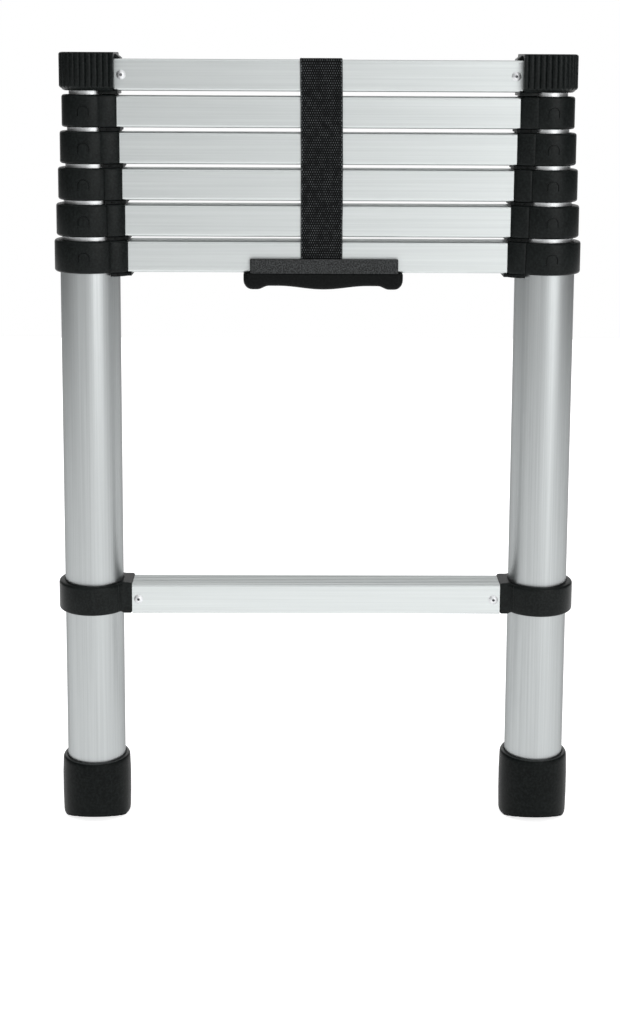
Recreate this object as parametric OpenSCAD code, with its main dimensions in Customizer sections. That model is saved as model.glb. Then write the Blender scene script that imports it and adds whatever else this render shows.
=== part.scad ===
// Telescoping ladder, collapsed: two stiles of six nested tubes, seven rungs.
// +Z is up, X runs along the rungs, the front faces -Y and the floor is Z = 0.

/* [Overall] */
// Distance between the axes of the two stiles
stile_spacing = 387; // [360:1:410]
// Distance between rung tops with a section pulled out
rung_spacing = 298.6; // [280:0.2:300]
// Distance between rung tops in the collapsed stack
stack_pitch = 30.4; // [30.4:0.1:31]
// Height of the lowest rung's top above the floor
first_rung_top = 212.4; // [205:0.1:225]

/* [Tubes] */
// Outer radius of the outermost tube
outer_tube_r = 25.3; // [25:0.1:25.6]
// Radius lost from one tube to the next one inside it
tube_step = 1.8; // [1.75:0.05:1.85]
// Wall thickness of every tube
tube_wall = 1.4; // [1.2:0.1:1.4]
// Length of each of the inner tubes
inner_tube_len = 380; // [350:5:400]

/* [Rungs] */
// Front-to-back depth of a rung
rung_depth = 30.4; // [30:0.1:31]
// Height of a rung
rung_h = 26.4; // [26:0.1:26.6]
// Wall thickness of the hollow rung
rung_wall = 1.5; // [1.3:0.1:1.6]
// Radius of the rung's long edges
rung_edge_r = 2.2; // [1.8:0.1:2.4]
// Number of anti-slip grooves along the rung's top
rung_grooves = 5; // [3:1:6]

/* [Collars] */
// Outer radius of the largest latching collar, at rung 2
collar_r = 30; // [29.6:0.1:30.2]
// Radius lost from one collar to the next one above
collar_step = 1.9; // [1.85:0.05:1.9]
// Distance from the tube axis to the rung end at rung 2
block_end = 33.7; // [33.5:0.1:34]
// Length of the curved cheek between the collar ring and the rung end
cheek_len = 14.5; // [14:0.1:15]
// Outer radius of the plain collar at rung 1
clamp_r = 30.6; // [30:0.1:30.8]
// Diameter of the lock pins
lock_pin_d = 6; // [5.6:0.1:6]
// Thickness of the thumb tab that hangs under each collar
tab_h = 2.6; // [2.4:0.1:2.6]

/* [Cap and feet] */
// Height of the ribbed end cap
cap_h = 31.8; // [31:0.1:32]
// Height of the rubber foot
foot_h = 57.8; // [54:0.1:60]
// How much lower the left foot's rim is than the right one's
left_rim_drop = 3.6; // [0:0.1:4]
// Outer radius of the rubber foot
foot_r = 29.9; // [29.2:0.1:30]

/* [Carry handle and strap] */
// Length of the soft grip under rung 2
grip_len = 134.6; // [125:0.1:140]
// Width of the strap
strap_w = 35.2; // [25:0.1:40]
// Thickness of the strap
strap_t = 1.2; // [1:0.1:1.4]

/* [Hidden] */
$fn = 96;
eps = 0.1;                       // overshoot of a cut past a face
gap = 0.3;                       // clearance between pieces that slide
RUNGS = 7;
travel = rung_spacing - stack_pitch;

// Rungs are numbered 1 (lowest) to 7, tubes 1 (outermost) to 6.
// Tube k carries rung k+1 at its top, and tube 1 carries rung 1 too.
function tube_r(k) = outer_tube_r - tube_step * (k - 1);
function rung_top(n) = n == 1 ? first_rung_top
    : first_rung_top + rung_spacing + stack_pitch * (n - 2);
function rung_bottom(n) = rung_top(n) - rung_h;

clamp_raise = 2.4;               // the plain collar sits this much above rung 1
clamp_h = 25.4;
clamp_block_drop = 1.8;          // its block reaches this much below its ring
collar_h = rung_h + 0.8;
function collar_z(n) = rung_bottom(n) + (n == 1 ? clamp_raise : 0);
function ring_r(n) = n == 1 ? clamp_r : collar_r - collar_step * (n - 2);

end_step = 2.1;                  // how much nearer the stile each higher rung ends
clamp_end = 34;
cap_end = 23.6;
function rung_end(n) = n == 1 ? clamp_end : n == RUNGS ? cap_end : block_end - end_step * (n - 2);

block_half = rung_depth / 2 + 0.4;
lip_h = 7.4;                     // top lip of a collar, which guides the next tube
lip_gap = 0.35;
pin_z = 12;                      // lock pin axis above the collar's underside
pin_r = lock_pin_d / 2;
pin_hole_r = pin_r + gap;
function tube_top(k) = k == 6 ? collar_z(7) + cap_h - 4 : collar_z(k + 1) + collar_h - lip_h;
function tube_bottom(k) = k == 1 ? socket_floor : tube_top(k) - inner_tube_len;

// Tenons hold the rungs, and house the slider and spring of a latch.
tenon_len = 21;
tenon_half = rung_depth / 2 - rung_wall - eps;
tenon_low = rung_wall + eps;
tenon_h = rung_h - 2 * rung_wall - 2 * eps;
channel_half = 4.5;
channel_low = pin_z - 6;
channel_h = 12;
channel_end = 18.3;
slider_end = 6;
slider_travel = 3;
stem_back = slider_travel + 0.4;
tab_drop = 0.3 + tab_h;
tab_past = 2.6;                  // how far a tab shows beyond the collar
tab_inset = 0.8;
function slider_start(n) = tube_r(n - 1) + 0.4;

spring_r = 3.2;
wire_r = 0.45;
spring_turns = 5;

socket_floor = 8;
tread_pitch = 5.5;
tread_w = 2;
tread_depth = 1.8;
sole_flat = 10;                  // half depth of the sole's flat middle
sole_rise = 6.5;                 // height of the slanted sole at the front and back edge

rib_pitch_deg = 12;
rib_r = 1.1;
rib_sunk = 0.2;                  // how far a rib's axis sits inside the cap's wall
cap_r = 23.3;
cap_half = 22.5;
cap_skirt = 3;
cap_tongue = 4.2;

rivet_from_end = 5.6;
rivet_head_r = 4;
rivet_head_h = 1.7;
rivet_body_r = 2;
rivet_len = 6;
rivet_bore_r = 1.2;

handle_x = 4.5;                  // the grip, its saddle and the strap sit a little off centre
saddle_x = 5.2;
strap_x = 3;
saddle_len = grip_len - 9.8;
saddle_h = 12.3;
saddle_inner = rung_depth / 2 + 2.7;
saddle_t = 2.1;
saddle_web = 2.7;
pad_start = 25;
grip_half = 20.5;
grip_h = 13.9;
strap_gap = 0.8;                 // between the strap and the faces of the rungs
strap_lift = 0.1;                // between the strap and the top of rung 7
strap_drop = 10;                 // length of strap end tucked behind the saddle plate

plastic = [0.13, 0.14, 0.14];
rubber = [0.1, 0.11, 0.11];
aluminium = [0.8, 0.82, 0.82];
steel = [0.6, 0.6, 0.62];
webbing = [0.16, 0.16, 0.17];

// Places a stile's piece: in its own frame +X points from the tube axis to the ladder's middle.
module at_left() {
    translate([-stile_spacing / 2, 0, 0]) children();
}
module at_right() {
    mirror([1, 0, 0]) at_left() children();
}
module both_stiles() {
    at_left() children();
    at_right() children();
}
module at_side(side) {
    if (side == "left") at_left() children();
    else at_right() children();
}

// A box given by its low and high corners.
module span(low, high) {
    translate(low) cube(high - low);
}

// A round bar along +X.
module bar_x(r, from, to) {
    translate([from, 0, 0]) rotate([0, 90, 0]) cylinder(r = r, h = to - from);
}

module round_rect(w, h, r) {
    square([w - 2 * r, h], center = true);
    square([w, h - 2 * r], center = true);
    for (x = [-1, 1], y = [-1, 1])
        translate([x * (w / 2 - r), y * (h / 2 - r)]) circle(r = r, $fn = 32);
}

// ---- tubes ----
module tube(k) {
    r = tube_r(k);
    low = tube_bottom(k);
    difference() {
        translate([0, 0, low]) cylinder(r = r, h = tube_top(k) - low);
        translate([0, 0, low - eps]) cylinder(r = r - tube_wall, h = tube_top(k) - low + 2 * eps);
        // the pin of the collar at this tube's top passes through its wall
        if (k < 6) translate([0, 0, collar_z(k + 1) + pin_z]) bar_x(pin_hole_r, r - 6, r + 2);
        // the pin of the collar below locks in this hole once the tube is pulled out
        if (k > 1) translate([0, 0, collar_z(k) + pin_z - travel]) bar_x(pin_hole_r, r - 6, r + 2);
    }
}

module tubes(k) {
    color(aluminium) both_stiles() tube(k);
}

// Plug in the lower end of an inner tube: centres it, and lets air out through a small hole.
module tube_glides(k) {
    r = tube_r(k);
    low = tube_bottom(k);
    color(plastic) both_stiles() translate([0, 0, low]) difference() {
        union() {
            translate([0, 0, -3]) cylinder(r = r + 0.05, h = 3);
            cylinder(r = r - tube_wall, h = 11);
        }
        translate([0, 0, -3 - eps]) cylinder(r = 2.5, h = 20);
        translate([0, 0, 3]) cylinder(r = r - tube_wall - 2, h = 20);
    }
}

// ---- rungs ----
module rung_profile() {
    groove_pitch = (rung_depth - 2 * rung_edge_r) / (rung_grooves + 1);
    difference() {
        round_rect(rung_depth, rung_h, rung_edge_r);
        square([rung_depth - 2 * rung_wall, rung_h - 2 * rung_wall], center = true);
        for (i = [0:rung_grooves - 1])
            translate([(i - (rung_grooves - 1) / 2) * groove_pitch, rung_h / 2])
                square([1.4, 1.2], center = true);
    }
}

module rung(n) {
    half_len = stile_spacing / 2 - rung_end(n);
    color(aluminium) difference() {
        translate([0, 0, rung_bottom(n) + rung_h / 2]) rotate([90, 0, 90])
            linear_extrude(height = 2 * half_len, center = true) rung_profile();
        if (n == 1 || n == RUNGS) both_stiles() rivet_holes(n);
    }
}

// ---- collars ----
function cheek_start(n) = rung_end(n) - cheek_len;
function cheek_half(n) = sqrt(pow(ring_r(n), 2) - pow(cheek_start(n), 2));
function cheek_r(n) = (pow(cheek_len, 2) + pow(cheek_half(n) - block_half, 2))
    / (2 * (cheek_half(n) - block_half));

// The cheeks curve from the ring's crease in to the rung's depth.
module cheek_plan(n, inset, reach) {
    start = cheek_start(n);
    half = cheek_half(n);
    for (s = [-1, 1]) intersection() {
        translate([start, s < 0 ? -half : 0]) square([reach, half]);
        translate([start, s * (half - cheek_r(n))]) circle(r = cheek_r(n) - inset);
    }
}

module latch_collar_plan(n) {
    circle(r = ring_r(n));
    cheek_plan(n, 0, cheek_len);
    translate([0, -cheek_half(n)]) square([cheek_start(n), 2 * cheek_half(n)]);
}

module tenon(n, low) {
    span([rung_end(n) - 2, -tenon_half, low], [rung_end(n) + tenon_len, tenon_half, low + tenon_h]);
}

module latch_collar(n) {
    translate([0, 0, collar_z(n)]) difference() {
        union() {
            linear_extrude(height = collar_h) latch_collar_plan(n);
            tenon(n, tenon_low);
        }
        translate([0, 0, -eps]) cylinder(r = tube_r(n - 1), h = collar_h - lip_h + eps);
        cylinder(r = tube_r(n) + lip_gap, h = collar_h + eps);
        span([tube_r(n) + 1, -channel_half, channel_low],
             [rung_end(n) + channel_end, channel_half, channel_low + channel_h]);
        span([tube_r(n) + 1, -channel_half, -eps], [rung_end(n), channel_half, channel_low + eps]);
    }
}

module clamp_collar() {
    translate([0, 0, collar_z(1)]) difference() {
        union() {
            cylinder(r = clamp_r, h = clamp_h);
            span([clamp_r - 6, -block_half, -clamp_block_drop], [clamp_end, block_half, clamp_h]);
            tenon(1, rung_wall - clamp_raise + eps);
        }
        translate([0, 0, -5]) cylinder(r = tube_r(1), h = clamp_h + 10);
        translate([0, 0, -collar_z(1)]) rivet_holes(1);
    }
}

module rung_collars(n) {
    color(plastic) both_stiles() {
        if (n == 1) clamp_collar();
        else latch_collar(n);
    }
}

// ---- latches ----
module tab_plan(n) {
    half = block_half - tab_inset;
    difference() {
        intersection() {
            union() {
                cheek_plan(n, tab_inset, cheek_len);
                translate([rung_end(n) - 1, -half]) square([1 + tab_past, 2 * half]);
            }
            translate([cheek_start(n) + gap, -50]) square([cheek_len + tab_past - gap, 100]);
        }
        circle(r = tube_r(n - 1) + 0.5);
    }
}

// Thumb tab: a fork under the collar, reached from the front and the back.
module tab(n, clear_collar, clear_rung) {
    translate([0, 0, -tab_drop]) linear_extrude(height = tab_drop - clear_rung) tab_plan(n);
    translate([0, 0, -tab_drop]) linear_extrude(height = tab_drop - clear_collar) intersection() {
        tab_plan(n);
        translate([0, -50]) square([rung_end(n) - stem_back, 100]);
    }
}

module latch_slider(n, side) {
    start = slider_start(n);
    stem_end = rung_end(n) - stem_back;
    half = channel_half - gap;
    color(plastic) at_side(side) translate([0, 0, collar_z(n)]) difference() {
        union() {
            span([start, -half, channel_low + gap],
                 [rung_end(n) + slider_end, half, channel_low + channel_h - gap]);
            span([start, -half, -tab_drop], [stem_end, half, channel_low + 1]);
            tab(n, gap, gap);
        }
        translate([0, 0, pin_z]) bar_x(pin_r, start - 1, start + 5);
        // finger recess in the tab's front and back edges
        for (s = [-1, 1])
            translate([rung_end(n) - cheek_len / 2 + 1, s * (cheek_half(n) - 1.6), -tab_drop / 2])
                cube([6, 2.4, 1.6], center = true);
    }
}

module lock_pin(n, side) {
    color(steel) at_side(side) translate([0, 0, collar_z(n) + pin_z])
        bar_x(pin_r, tube_r(n) + lip_gap, slider_start(n) + 5);
}

// Compression spring behind a slider: a six-sided wire swept along a helix about X.
spring_from = slider_end + gap;
spring_len = channel_end - slider_end - 2 * gap;
spring_sides = 6;
spring_steps = 50;
function spring_point(i, j) = let (
        t = i / spring_steps,
        a = 360 * spring_turns * t,
        b = 360 * j / spring_sides,
        r = spring_r + wire_r * cos(b)
    ) [wire_r + t * (spring_len - 2 * wire_r) + wire_r * sin(b), r * cos(a), r * sin(a)];

module spring() {
    points = [for (i = [0:spring_steps], j = [0:spring_sides - 1]) spring_point(i, j)];
    sides = [
        for (i = [0:spring_steps - 1], j = [0:spring_sides - 1])
            let (k = (j + 1) % spring_sides, a = i * spring_sides, b = a + spring_sides)
            [a + j, a + k, b + k, b + j]
    ];
    first = [for (j = [spring_sides - 1:-1:0]) j];
    last = [for (j = [0:spring_sides - 1]) spring_steps * spring_sides + j];
    polyhedron(points = points, faces = concat(sides, [first], [last]), convexity = 10);
}

module latch_springs(n) {
    color(steel) both_stiles()
        translate([rung_end(n) + spring_from, 0, collar_z(n) + pin_z]) spring();
}

// ---- end caps ----
module cap_plan(inset) {
    circle(r = cap_r - inset);
    translate([0, inset - cap_half]) square([cap_end - inset, 2 * (cap_half - inset)]);
}

module cap_rib() {
    cylinder(r = rib_r, h = cap_h - cap_skirt - 1, $fn = 24);
}

module cap_ribs() {
    arc_ribs = 180 / rib_pitch_deg;
    for (i = [0:arc_ribs])
        rotate([0, 0, 90 + i * rib_pitch_deg]) translate([cap_r - rib_sunk, 0, 0]) cap_rib();
    for (s = [-1, 1], x = [5:5:20])
        translate([x, s * (cap_half - rib_sunk), 0]) cap_rib();
}

module end_cap() {
    z = collar_z(RUNGS);
    translate([0, 0, z]) difference() {
        union() {
            translate([0, 0, cap_skirt]) linear_extrude(height = cap_h - cap_skirt) cap_plan(0);
            linear_extrude(height = cap_skirt + eps) cap_plan(3.2);
            translate([0, 0, cap_skirt]) cap_ribs();
            tenon(RUNGS, tenon_low);
            // sloped tongue over the rung's end
            rotate([90, 0, 0]) translate([cap_end, 0, -11]) linear_extrude(height = 22)
                polygon([
                    [-2, rung_h], [cap_tongue, rung_h], [cap_tongue, rung_h + 1],
                    [-1.6, cap_h - 0.6], [-2, cap_h - 0.6],
                ]);
            // fixed spacer that matches the thumb tabs of the rungs below
            difference() {
                translate([0, 0, -tab_drop]) linear_extrude(height = tab_drop)
                    spacer_plan(cap_end + tab_past);
                translate([0, 0, -tab_drop - eps]) cylinder(r = tube_r(6) + 0.5, h = tab_drop);
            }
            translate([0, 0, -tab_drop]) linear_extrude(height = tab_drop + eps) difference() {
                spacer_plan(cap_end - 1);
                circle(r = tube_r(6) + 0.5);
            }
        }
        translate([0, 0, -10]) cylinder(r = tube_r(6), h = cap_h + 6);
        translate([0, 0, -z]) rivet_holes(RUNGS);
    }
}

module spacer_plan(reach) {
    translate([11, -17.5]) square([reach - 11, 35]);
}

module end_caps() {
    color(plastic) both_stiles() end_cap();
}

// ---- rivets ----
module on_rivet_axes(n) {
    for (s = [0, 180])
        translate([rung_end(n) + rivet_from_end, 0, rung_bottom(n) + rung_h / 2])
            rotate([90, 0, s]) translate([0, 0, rung_depth / 2]) children();
}

module rivet_holes(n) {
    on_rivet_axes(n) translate([0, 0, -rivet_len]) cylinder(r = rivet_body_r, h = rivet_len + 1, $fn = 32);
}

// Dome-head blind rivet with its hollow core.
module rivet() {
    dome_r = (pow(rivet_head_r, 2) + pow(rivet_head_h, 2)) / (2 * rivet_head_h);
    difference() {
        union() {
            intersection() {
                translate([0, 0, rivet_head_h - dome_r]) sphere(r = dome_r);
                cylinder(r = rivet_head_r + 1, h = rivet_head_h + 1);
            }
            translate([0, 0, -rivet_len]) cylinder(r = rivet_body_r, h = rivet_len + 0.2, $fn = 32);
        }
        translate([0, 0, -rivet_len + 1]) cylinder(r = rivet_bore_r, h = rivet_len + 5, $fn = 32);
    }
}

module rivets(n) {
    color(aluminium) both_stiles() on_rivet_axes(n) rivet();
}

// ---- feet ----
module sole_section() {
    polygon([
        [-sole_flat, 0], [sole_flat, 0], [foot_r + 1, sole_rise], [foot_r + 1, foot_h + 1],
        [-foot_r - 1, foot_h + 1], [-foot_r - 1, sole_rise],
    ]);
}

module foot(side) {
    slope = sole_rise / (foot_r + 1 - sole_flat);
    rim = side == "left" ? foot_h - left_rim_drop : foot_h;
    color(rubber) at_side(side) difference() {
        intersection() {
            rotate_extrude() polygon([
                [0, 0], [foot_r - 2.4, 0], [foot_r - 0.4, 3.2], [foot_r, 20], [foot_r - 0.4, rim - 4],
                [foot_r - 0.9, rim - 1.8], [foot_r - 2.6, rim], [0, rim],
            ]);
            rotate([90, 0, 90]) linear_extrude(height = 2 * foot_r + 2, center = true) sole_section();
        }
        translate([0, 0, socket_floor]) cylinder(r = tube_r(1), h = foot_h);
        for (i = [-4.5:1:4.5])
            let (y = i * tread_pitch, z = max(0, (abs(y) - sole_flat) * slope) + tread_depth)
                span([-foot_r - 1, y - tread_w / 2, -1], [foot_r + 1, y + tread_w / 2, z]);
    }
}

// ---- carry handle ----
saddle_low = rung_bottom(2) - saddle_web;
saddle_top = rung_bottom(2) + saddle_h;

module handle_saddle() {
    half = saddle_len / 2;
    color(plastic) translate([saddle_x, 0, 0]) {
        span([-half, -saddle_inner, saddle_low], [half, saddle_inner, rung_bottom(2)]);
        for (s = [-1, 1]) scale_y(s) {
            span([-half, saddle_inner - eps, rung_bottom(2)], [half, saddle_inner + saddle_t, saddle_top]);
            for (e = [[-half, -pad_start], [pad_start, half]])
                span([e[0], rung_depth / 2, saddle_low], [e[1], saddle_inner, saddle_top]);
        }
    }
}

module scale_y(s) {
    mirror([0, s < 0 ? 1 : 0, 0]) children();
}

module grip_side_profile() {
    low = rung_bottom(2) - grip_h;
    difference() {
        union() {
            translate([0, low + grip_h / 2 + 2]) square([2 * grip_half, grip_h - 4], center = true);
            translate([0, low + 4]) round_rect(2 * grip_half, 8, 3.9);
        }
        translate([-50, rung_bottom(2) - 0.3]) square([100, 10]);
    }
}

// Finger swells along the underside of the grip.
module grip_front_profile() {
    low = rung_bottom(2) - grip_h;
    half = grip_len / 2;
    bar_low = low + 3;
    swell_mid = 188;
    swell_end = 25;
    translate([-half + 5, bar_low]) square([grip_len - 10, grip_h - 3]);
    translate([-half, bar_low + 5]) square([grip_len, grip_h - 8]);
    for (s = [-1, 1]) translate([s * (half - 5), bar_low + 5]) circle(r = 5, $fn = 48);
    intersection() {
        translate([-half, low]) square([grip_len, 3.2]);
        union() {
            translate([0, low + swell_mid]) circle(r = swell_mid, $fn = 360);
            for (s = [-1, 1]) translate([s * (half - 11.5), low + swell_end]) circle(r = swell_end);
        }
    }
}

module handle_grip() {
    color(rubber) difference() {
        translate([handle_x, 0, 0]) intersection() {
            rotate([90, 0, 90]) linear_extrude(height = 200, center = true) grip_side_profile();
            rotate([90, 0, 0]) linear_extrude(height = 60, center = true) grip_front_profile();
        }
        translate([saddle_x, 0, 0]) span([-saddle_len / 2, -saddle_inner, saddle_low],
                                         [saddle_len / 2, saddle_inner, rung_bottom(2) + 1]);
    }
}

// ---- strap ----
// Over rung 7 and down both sides, its ends tucked behind the saddle plates.
module carry_strap() {
    inner = rung_depth / 2 + strap_gap;
    top = rung_top(RUNGS) + strap_lift;
    color(webbing) translate([strap_x, 0, 0]) {
        for (s = [-1, 1]) scale_y(s)
            span([-strap_w / 2, inner, saddle_top - strap_drop], [strap_w / 2, inner + strap_t, top]);
        span([-strap_w / 2, -inner - strap_t, top], [strap_w / 2, inner + strap_t, top + strap_t]);
    }
}

tubes(1);  // outer_tubes
for (k = [2:6]) {
    tubes(k);
    tube_glides(k);
}
for (n = [1:RUNGS])
    rung(n);
for (n = [1:6])
    rung_collars(n);
end_caps();
for (n = [1, RUNGS])
    rivets(n);
for (n = [2:6]) {
    for (side = ["left", "right"]) {
        latch_slider(n, side);
        lock_pin(n, side);
    }
    latch_springs(n);
}
for (side = ["left", "right"])
    foot(side);
handle_saddle();
handle_grip();
carry_strap();
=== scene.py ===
import math

import bmesh
import bpy
from mathutils import Matrix, Vector, noise


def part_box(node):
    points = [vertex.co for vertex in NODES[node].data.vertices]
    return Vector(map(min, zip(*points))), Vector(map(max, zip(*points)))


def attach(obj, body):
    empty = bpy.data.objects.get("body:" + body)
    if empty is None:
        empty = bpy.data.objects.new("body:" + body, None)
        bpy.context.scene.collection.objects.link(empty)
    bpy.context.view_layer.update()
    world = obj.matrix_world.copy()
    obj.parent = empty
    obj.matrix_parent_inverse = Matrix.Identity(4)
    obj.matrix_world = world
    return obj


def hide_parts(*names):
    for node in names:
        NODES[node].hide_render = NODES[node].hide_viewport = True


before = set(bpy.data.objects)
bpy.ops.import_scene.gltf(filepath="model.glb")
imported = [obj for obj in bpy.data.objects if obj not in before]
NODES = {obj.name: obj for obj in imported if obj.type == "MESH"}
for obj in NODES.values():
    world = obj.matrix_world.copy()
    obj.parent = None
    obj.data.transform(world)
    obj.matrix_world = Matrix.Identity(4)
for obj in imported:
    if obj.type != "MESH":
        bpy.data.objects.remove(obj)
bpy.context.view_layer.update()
MM = 0.001

# ---------------------------------------------------------------- camera
YAW, PITCH, ROLL = (math.radians(a) for a in (0.489, 8.266, 0.285))
CAMERA_PLACE = (-0.01621, -1.4678, 0.66665)
LENS_MM = 60.96
SHIFT_X, SHIFT_Y = -0.0031, -0.2002


def make_camera():
    data = bpy.data.cameras.new("camera")
    data.sensor_width = 36
    data.lens = LENS_MM
    data.shift_x = SHIFT_X
    data.shift_y = SHIFT_Y
    camera = bpy.data.objects.new("camera", data)
    bpy.context.scene.collection.objects.link(camera)
    forward = Vector((
        math.sin(YAW) * math.cos(PITCH),
        math.cos(YAW) * math.cos(PITCH),
        -math.sin(PITCH),
    ))
    level = Vector((math.cos(YAW), -math.sin(YAW), 0))
    upright = level.cross(forward)
    right = math.cos(ROLL) * level + math.sin(ROLL) * upright
    up = math.cos(ROLL) * upright - math.sin(ROLL) * level
    turn = Matrix((right, up, -forward)).transposed()
    camera.matrix_world = Matrix.Translation(CAMERA_PLACE) @ turn.to_4x4()
    bpy.context.scene.camera = camera


make_camera()


# ---------------------------------------------------------------- materials
class Paint:
    """A procedural material in the object's own coordinates."""

    def __init__(self, name, colour, roughness, metallic=0.0, **constants):
        self.material = bpy.data.materials.new(name)
        self.material.use_nodes = True
        self.tree = self.material.node_tree
        self.shader = self.tree.nodes["Principled BSDF"]
        self.shader.inputs["Base Color"].default_value = (*colour, 1)
        self.shader.inputs["Roughness"].default_value = roughness
        self.shader.inputs["Metallic"].default_value = metallic
        for key, value in constants.items():
            self.shader.inputs[key.replace("_", " ")].default_value = value
        self.place = self.node("ShaderNodeTexCoord").outputs["Object"]
        self.normal = None

    def node(self, kind, inputs=(), **properties):
        made = self.tree.nodes.new(kind)
        for key, value in properties.items():
            setattr(made, key, value)
        for key, value in dict(inputs).items():
            if isinstance(value, bpy.types.NodeSocket):
                self.tree.links.new(value, made.inputs[key])
            else:
                made.inputs[key].default_value = value
        return made

    def stretched(self, scale):
        inputs = {"Vector": self.place, "Scale": scale}
        return self.node("ShaderNodeMapping", inputs).outputs["Vector"]

    def noise(self, scale, detail=3.0, roughness=0.55):
        """Fractal noise; scale is features per metre along X, Y and Z."""
        inputs = {
            "Vector": self.stretched(scale),
            "Scale": 1.0,
            "Detail": detail,
            "Roughness": roughness,
        }
        return self.node("ShaderNodeTexNoise", inputs).outputs["Fac"]

    def cells(self, scale):
        inputs = {"Vector": self.stretched(scale), "Scale": 1.0}
        return self.node("ShaderNodeTexVoronoi", inputs).outputs["Distance"]

    def spread(self, value, low, high, to_low, to_high):
        """The value's range from low to high, clamped and stretched to another range."""
        inputs = {
            "Value": value,
            "From Min": low,
            "From Max": high,
            "To Min": to_low,
            "To Max": to_high,
        }
        return self.node("ShaderNodeMapRange", inputs).outputs["Result"]

    def product(self, a, b):
        made = self.node("ShaderNodeMath", {0: a, 1: b}, operation="MULTIPLY")
        return made.outputs[0]

    def mix(self, share, first, second):
        made = self.node("ShaderNodeMix", {"Factor": share}, data_type="RGBA")
        for socket, value in ((made.inputs[6], first), (made.inputs[7], second)):
            if isinstance(value, bpy.types.NodeSocket):
                self.tree.links.new(value, socket)
            else:
                socket.default_value = (*value, 1)
        return made.outputs[2]

    def to(self, name, socket):
        self.tree.links.new(socket, self.shader.inputs[name])

    def bump(self, height, distance, strength=1.0):
        inputs = {"Height": height, "Distance": distance, "Strength": strength}
        if self.normal is not None:
            inputs["Normal"] = self.normal
        self.normal = self.node("ShaderNodeBump", inputs).outputs["Normal"]
        self.to("Normal", self.normal)


def shaded(colour, factor):
    return tuple(factor * c for c in colour)


def aluminium(name, streaks, hairs, dark, light, rough, edge):
    """Satin metal: streaks and fine hairs along one axis, smudges and rough handling marks.

    Streaks and hairs are features per metre, and edge is the tint seen at a grazing angle.
    """
    paint = Paint(name, light, rough[0], metallic=1.0, Specular_Tint=(edge, edge, edge, 1))
    streak = paint.noise(streaks, 4.0)
    hair = paint.noise(hairs, 2.0)
    cloud = paint.noise((14, 14, 14), 3.0)
    mark = paint.noise((260, 260, 260), 5.0, 0.7)
    share = paint.spread(streak, 0.3, 0.7, 0.0, 1.0)
    colour = paint.mix(share, dark, light)
    smudge = paint.spread(cloud, 0.35, 0.75, 0.0, 0.35)
    colour = paint.mix(smudge, colour, shaded(light, 0.93))
    paint.to("Base Color", colour)
    spots = paint.spread(mark, 0.62, 0.75, 0.0, 0.06)
    even = paint.spread(hair, 0.25, 0.75, rough[0], rough[1])
    total = paint.node("ShaderNodeMath", {0: even, 1: spots}, operation="ADD")
    paint.to("Roughness", total.outputs[0])
    paint.bump(hair, 0.00002, 0.6)
    paint.bump(streak, 0.00004, 0.35)
    return paint.material


def moulded(name, dark, light, rough, grain, grain_depth, **constants):
    """Moulded plastic or rubber: fine grain, flow clouds, mottling and pale scuffs."""
    paint = Paint(name, dark, rough[0], **constants)
    cloud = paint.noise((45, 45, 45), 4.0)
    fine = paint.noise((grain, grain, grain), 3.0, 0.6)
    mottle = paint.noise((0.4 * grain, 0.4 * grain, 0.4 * grain), 2.0, 0.6)
    scuff = paint.noise((90, 90, 900), 4.0, 0.65)
    share = paint.spread(cloud, 0.3, 0.7, 0.0, 0.55)
    colour = paint.mix(share, dark, light)
    blotch = paint.spread(mottle, 0.4, 0.68, 0.0, 0.8)
    colour = paint.mix(blotch, colour, shaded(light, 1.8))
    speck = paint.spread(fine, 0.55, 0.8, 0.0, 0.35)
    colour = paint.mix(speck, colour, shaded(light, 1.9))
    worn = paint.spread(scuff, 0.68, 0.8, 0.0, 0.3)
    colour = paint.mix(worn, colour, shaded(light, 2.2))
    paint.to("Base Color", colour)
    paint.to("Roughness", paint.spread(fine, 0.3, 0.7, rough[0], rough[1]))
    paint.bump(fine, grain_depth, 0.8)
    return paint.material


def webbing():
    """Woven yarn: painted shade between the crowns of the weave, painted glints on top of them and
    a painted sheen along the fibres.
    """
    paint = Paint("webbing", (0.012, 0.012, 0.013), 0.7, Specular_IOR_Level=0.05)
    fibre = paint.noise((5200, 5200, 900), 3.0, 0.6)
    cloud = paint.noise((60, 60, 60), 3.0)
    tone = paint.spread(cloud, 0.3, 0.7, 0.0, 1.0)
    colour = paint.mix(tone, (0.004, 0.0048, 0.005), (0.010, 0.0115, 0.012))
    # Painted sheen: fibre streaks lightened towards pale grey
    shine = paint.spread(fibre, 0.5, 0.8, 0.0, 0.6)
    colour = paint.mix(shine, colour, (0.02, 0.022, 0.023))
    # Painted shade: where the yarn stands low, and at the strap's edges, the colour goes to near
    # black
    crown = paint.node("ShaderNodeAttribute", attribute_name="crown").outputs["Fac"]
    lit = paint.spread(crown, 0.35, 1.0, 0.0, 1.0)
    colour = paint.mix(lit, (0.0022, 0.0025, 0.0027), colour)
    # Painted glints: the tops of the crowns lightened to pale grey in uneven patches
    tip = paint.spread(crown, 0.5, 0.9, 0.0, 1.0)
    patch = paint.noise((260, 260, 260), 3.0, 0.6)
    uneven = paint.spread(patch, 0.38, 0.6, 0.25, 1.0)
    sheen = paint.spread(fibre, 0.35, 0.65, 0.4, 1.0)
    glint = paint.product(paint.product(tip, uneven), sheen)
    colour = paint.mix(glint, colour, (0.16, 0.172, 0.176))
    paint.to("Base Color", colour)
    paint.to("Roughness", paint.spread(fibre, 0.3, 0.7, 0.5, 0.8))
    paint.bump(fibre, 0.00008, 0.7)
    return paint.material


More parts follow.
